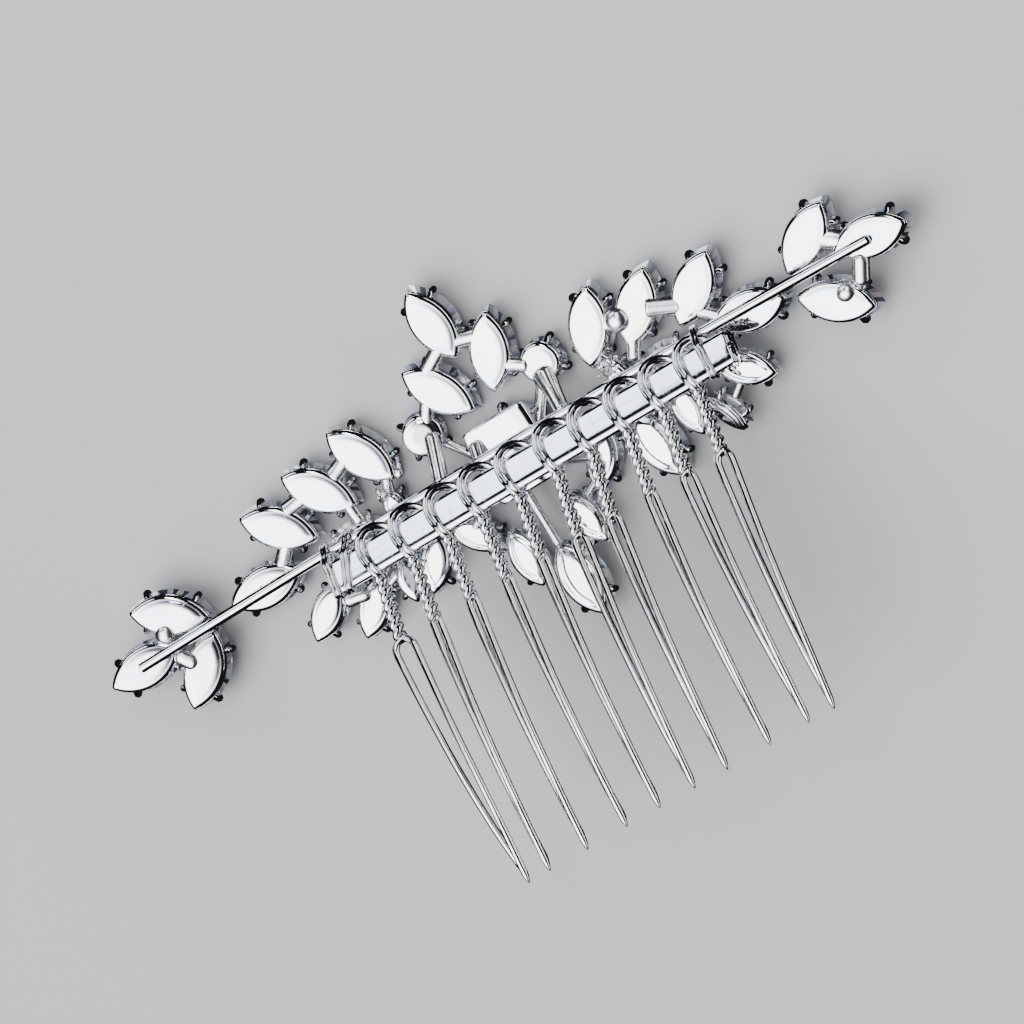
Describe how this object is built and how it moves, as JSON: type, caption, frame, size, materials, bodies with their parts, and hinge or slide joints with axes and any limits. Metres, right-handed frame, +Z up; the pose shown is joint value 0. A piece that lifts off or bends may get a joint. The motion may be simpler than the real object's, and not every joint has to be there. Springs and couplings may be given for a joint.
{
  "type": "bridal hair comb",
  "caption": "Hair comb: a spray of pronged marquise, round and rectangular stones soldered to a long spine wire, with looped and twisted wire teeth on a flat bar bound to it.",
  "frame": {"origin": "middle of the footprint, at the level of the centre stone's table, which the comb lies on", "axes": "+X along the comb's bar, to the right when the polished backs are seen with the crest up; +Y from the tooth tips to the crest; +Z up, out of the polished backs. The comb lies face down."},
  "size_m": [0.1143, 0.0671, 0.0216],
  "materials": {
    "setting_silver": "mirror polished",
    "bar_silver": "mirror polished",
    "wire_silver": "bright drawn wire",
    "crystal": "cut and polished"
  },
  "bodies": {
    "root": {"binding_left": "wire_silver", "binding_right": "wire_silver", "comb_bar": "bar_silver", "spray_frame": "setting_silver", "stone_centre": "crystal", "stone_crest": "crystal", "stone_crest_left": "crystal", "stone_crest_right": "crystal", "stone_drop": "crystal", "stone_drop_left": "crystal", "stone_drop_right": "crystal", "stone_end_1_left": "crystal", "stone_end_1_right": "crystal", "stone_end_2_left": "crystal", "stone_end_2_right": "crystal", "stone_end_3_left": "crystal", "stone_end_3_right": "crystal", "stone_lower_1_left": "crystal", "stone_lower_1_right": "crystal", "stone_lower_2_left": "crystal", "stone_lower_2_right": "crystal", "stone_lower_3_left": "crystal", "stone_lower_3_right": "crystal", "stone_lower_4_left": "crystal", "stone_lower_4_right": "crystal", "stone_lower_5_left": "crystal", "stone_lower_5_right": "crystal", "stone_middle_1_left": "crystal", "stone_middle_1_right": "crystal", "stone_middle_2_left": "crystal", "stone_middle_2_right": "crystal", "stone_round_left": "crystal", "stone_round_right": "crystal", "stone_wing_1_left": "crystal", "stone_wing_1_right": "crystal", "stone_wing_2_left": "crystal", "stone_wing_2_right": "crystal", "stone_wing_3_left": "crystal", "stone_wing_3_right": "crystal", "stone_wing_4_left": "crystal", "stone_wing_4_right": "crystal", "tooth_01": "wire_silver", "tooth_02": "wire_silver", "tooth_03": "wire_silver", "tooth_04": "wire_silver", "tooth_05": "wire_silver", "tooth_06": "wire_silver", "tooth_07": "wire_silver", "tooth_08": "wire_silver", "tooth_09": "wire_silver", "tooth_10": "wire_silver"}
  },
  "joints": []
}
